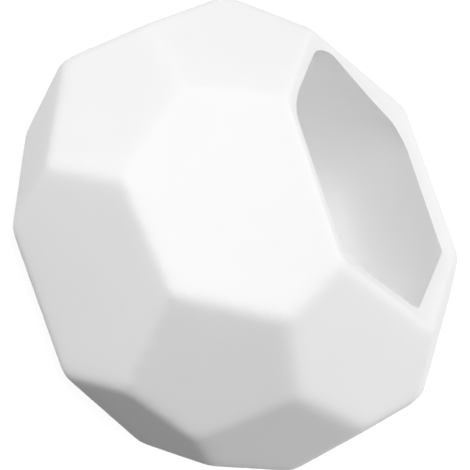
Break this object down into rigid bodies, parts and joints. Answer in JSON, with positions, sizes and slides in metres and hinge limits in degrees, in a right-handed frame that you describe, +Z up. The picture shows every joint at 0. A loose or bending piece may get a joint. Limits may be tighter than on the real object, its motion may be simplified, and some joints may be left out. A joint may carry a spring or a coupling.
{
  "type": "hydroponic vase",
  "caption": "Faceted ball-shaped ceramic vase with a wide six-sided mouth and a flat base on soft pads, for growing a plant or stems in water.",
  "frame": {"origin": "middle of the footprint, on the plane that the pads rest on", "axes": "+Z up through the mouth, -Y towards the facets that the picture shows from the front"},
  "size_m": [0.1276, 0.134, 0.0836],
  "materials": {
    "ceramic": "satin white glaze, softly rounded edges",
    "pad": "frosted silicone"
  },
  "bodies": {
    "root": {"vase_body": "ceramic", "foot_pad_1": "pad", "foot_pad_2": "pad", "foot_pad_3": "pad", "foot_pad_4": "pad"}
  },
  "joints": []
}
